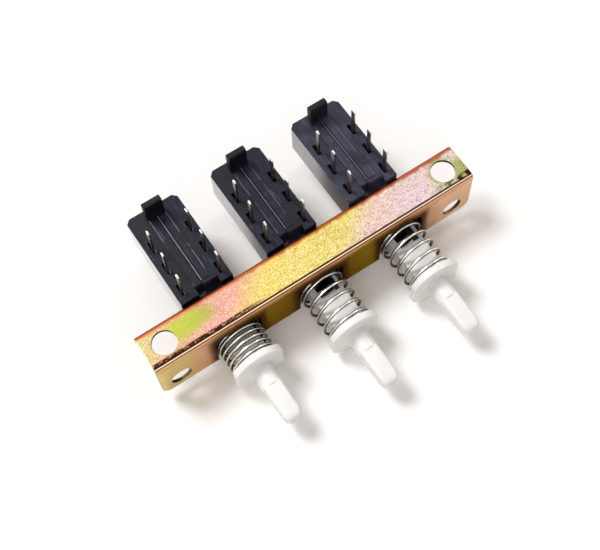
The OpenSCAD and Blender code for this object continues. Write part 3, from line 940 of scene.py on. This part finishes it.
cam = add_box(
    "cam",
    (key_mid_x - slide_w / 2 + leg_w - touch, cam_y, key_z - half_slide_h),
    (key_mid_x + cam_x, cam_y + cam_l, key_z + half_slide_h),
)
with shaping(cam):
    bpy.ops.mesh.select_all(action="SELECT")
    bpy.ops.mesh.bisect(plane_co=(0, cam_y + cam_land, 0), plane_no=(0, 1, 0), threshold=weld)
    choose(
        cam,
        "EDGE",
        lambda at, to: abs(to.z) > straight and at.x > key_mid_x and near(at.y, cam_y + cam_l),
    )
    bpy.ops.transform.translate(value=(-pocket_w / 2, 0, 0))
combine(plunger, "UNION", [cam])
soften(plunger, edge_r, 3)

acetal, shade = new_material("white_acetal")
point, x, y, z = shade.place()
cloud = shade.grain(point, 2.5, 3)
skin = shade.grain(point, 0.3, 2)
colour = cloud.band(0.3, 0.75).mix(screen(246, 244, 241), screen(239, 237, 233))
# painted shade darkens the inner walls of the fork and of the cam's pocket
across = (x - key_mid_x / mm).repeat(pitch / mm)
gap_left, gap_right = (leg_w - slide_w / 2) / mm, (slide_w / 2 - right_leg_w) / mm
half_h = half_slide_h / mm
fork_shade = across.between(gap_left - 0.04, gap_right + 0.04, 0.02) * y.band(fork_y / mm - 0.03, fork_y / mm)
fork_shade = fork_shade * (z - key_z / mm).between(0.05 - half_h, half_h - 0.14, 0.03)
colour = (fork_shade * 0.95).mix(colour, screen(26, 23, 20))
end_skin(
    shade,
    {
        "Base Color": colour,
        "Roughness": skin.band(0.3, 0.7, 0.3, 0.42),
        "Normal": skin.bump(0.25, 0.01 * mm),
        "Subsurface Weight": 0.3,
        "Subsurface Radius": (1.0, 0.95, 0.85),
        "Subsurface Scale": 0.6 * mm,
    },
)
for n in (1, 2, 3):
    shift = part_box(f"plunger_{n}")[0] - key_low
    copy = copy_by(plunger, f"moulded_plunger_{n}", shift) if n != 2 else plunger
    stand_for(copy, f"plunger_{n}", acetal)

# ---- Return springs ----
# Wound from bright round wire, closed at both ends, and held between the collar and the case.


def wind_spring(name, coil_d, wire_d, turns, start, end, first):
    """A coil spring from start to end, made a mesh; the wire starts in the direction first.
    It has one closed turn at each end, and open turns between them."""
    steps = 32
    axis = (end - start).normalized()
    second = axis.cross(first)
    length = (end - start).length
    closed_l = 1.5 * wire_d  # from the spring's end to the wire's middle after the closed turn
    bpy.ops.object.select_all(action="DESELECT")
    bpy.ops.curve.primitive_nurbs_path_add()
    spring = bpy.context.object
    spring.name = name
    spring.data.splines.clear()
    wire = spring.data.splines.new("POLY")
    count = steps * (turns + 2)
    wire.points.add(count)
    for i in range(count + 1):
        turn = i / steps
        if turn < 1:
            height = wire_d * (0.5 + turn)
        elif turn > turns + 1:
            height = length - wire_d * (0.5 + turns + 2 - turn)
        else:
            height = closed_l + (length - 2 * closed_l) * (turn - 1) / turns
        angle = 2 * pi * turn
        around = (first * cos(angle) + second * sin(angle)) * (coil_d - wire_d) / 2
        wire.points[i].co = (*(start + axis * height + around), 1)
    spring.data.bevel_depth = wire_d / 2
    spring.data.bevel_resolution = 2
    spring.data.use_fill_caps = True
    bpy.ops.object.convert(target="MESH")
    bpy.ops.object.shade_smooth_by_angle(angle=radians(50))
    return spring


def spring_wire(name, centre_x, centre_z, mid_r):
    """Bright wire, painted light on the outside of the coils and painted shade on their inside.
    The places of the coils' middle and of the wire's are in millimetres."""
    material, shade = new_material(name)
    point, x, y, z = shade.place()
    across = (x - centre_x).repeat(pitch / mm)
    outward = (across**2 + (z - centre_z) ** 2) ** 0.5 - mid_r
    drawn = shade.grain(point, 0.4, 2)
    # painted light on the outer half of the wire, painted shade on the half inside the coil
    colour = (outward + (drawn - 0.5) * 0.1).band(0.1, 0.22).mix(screen(74, 70, 66), screen(226, 222, 216))
    rough = drawn.band(0.3, 0.7, 0.14, 0.26)
    end_skin(shade, {"Base Color": colour, "Roughness": rough, "Metallic": 1.0})
    return material


coil_d, wire_d, open_turns = 7.8 * mm, 0.5 * mm, 4
up = Vector((0, 0, 1))
wire_skin = spring_wire("spring_wire", key_mid_x / mm, key_z / mm, (coil_d - wire_d) / 2 / mm)
for n in (1, 2, 3):
    low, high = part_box(f"return_spring_{n}")
    at = (low + high) / 2
    front, back = Vector((at.x, low.y, key_z)), Vector((at.x, high.y, key_z))
    spring = wind_spring(f"wound_spring_{n}", coil_d, wire_d, open_turns, front, back, up)
    coat(spring, wire_skin)
    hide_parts(f"return_spring_{n}")
    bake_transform(spring)

# ---- Latch bar and its spring ----
# A punched strip of zinc-plated steel lies on the three necks under the bracket's web. Its fingers
# drop behind the cams, and a small spring round its tongue pushes it to the left.

zinc, shade = new_material("bright_zinc")
point = shade.place()[0]
rolled = shade.grain(point, 0.15, 2, (14, 1, 1))
spangle = shade.grain(point, 1.8, 2)
colour = (rolled * 0.5 + spangle * 0.5).band(0.35, 0.65).mix(screen(168, 168, 170), screen(206, 206, 204))
rough = rolled.band(0.3, 0.7, 0.24, 0.4)
end_skin(shade, {"Base Color": colour, "Roughness": rough, "Metallic": 1.0})
coat(frame["nodes"]["latch_bar"], zinc)

low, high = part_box("latch_spring")
at = (low + high) / 2
coil_d, wire_d, open_turns = 1.6 * mm, 0.2 * mm, 3
left, right = Vector((low.x, at.y, at.z)), Vector((high.x, at.y, at.z))
latch_spring = wind_spring("wound_latch_spring", coil_d, wire_d, open_turns, left, right, up)
coat(latch_spring, zinc)
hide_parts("latch_spring")
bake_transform(latch_spring)

# ---- Contacts ----
# Inside each block a saddle of natural acetal is pegged on the plunger's tail. It carries two
# bowed strips of silver-plated bronze, which bridge two terminals of a row at a time.

natural, shade = new_material("natural_acetal")
cloud = shade.grain(shade.place()[0], 1.5, 3)
colour = cloud.band(0.3, 0.7).mix(screen(226, 220, 202), screen(214, 206, 184))
end_skin(shade, {"Base Color": colour, "Roughness": cloud.band(0.3, 0.7, 0.34, 0.46)})

bronze, shade = new_material("plated_bronze")
rubbed = shade.grain(shade.place()[0], 0.15, 2, (1, 10, 1))
colour = rubbed.band(0.35, 0.65).mix(screen(196, 172, 128), screen(216, 210, 196))
rough = rubbed.band(0.3, 0.7, 0.2, 0.34)
end_skin(shade, {"Base Color": colour, "Roughness": rough, "Metallic": 1.0})
for name, node in frame["nodes"].items():
    for start, skin in (("contact_carrier", natural), ("moving_contact", bronze)):
        if name.startswith(start):
            coat(node, skin)

# ---- Sizes ----
# The box of the construction and the box of what shows, in metres.

low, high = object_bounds()
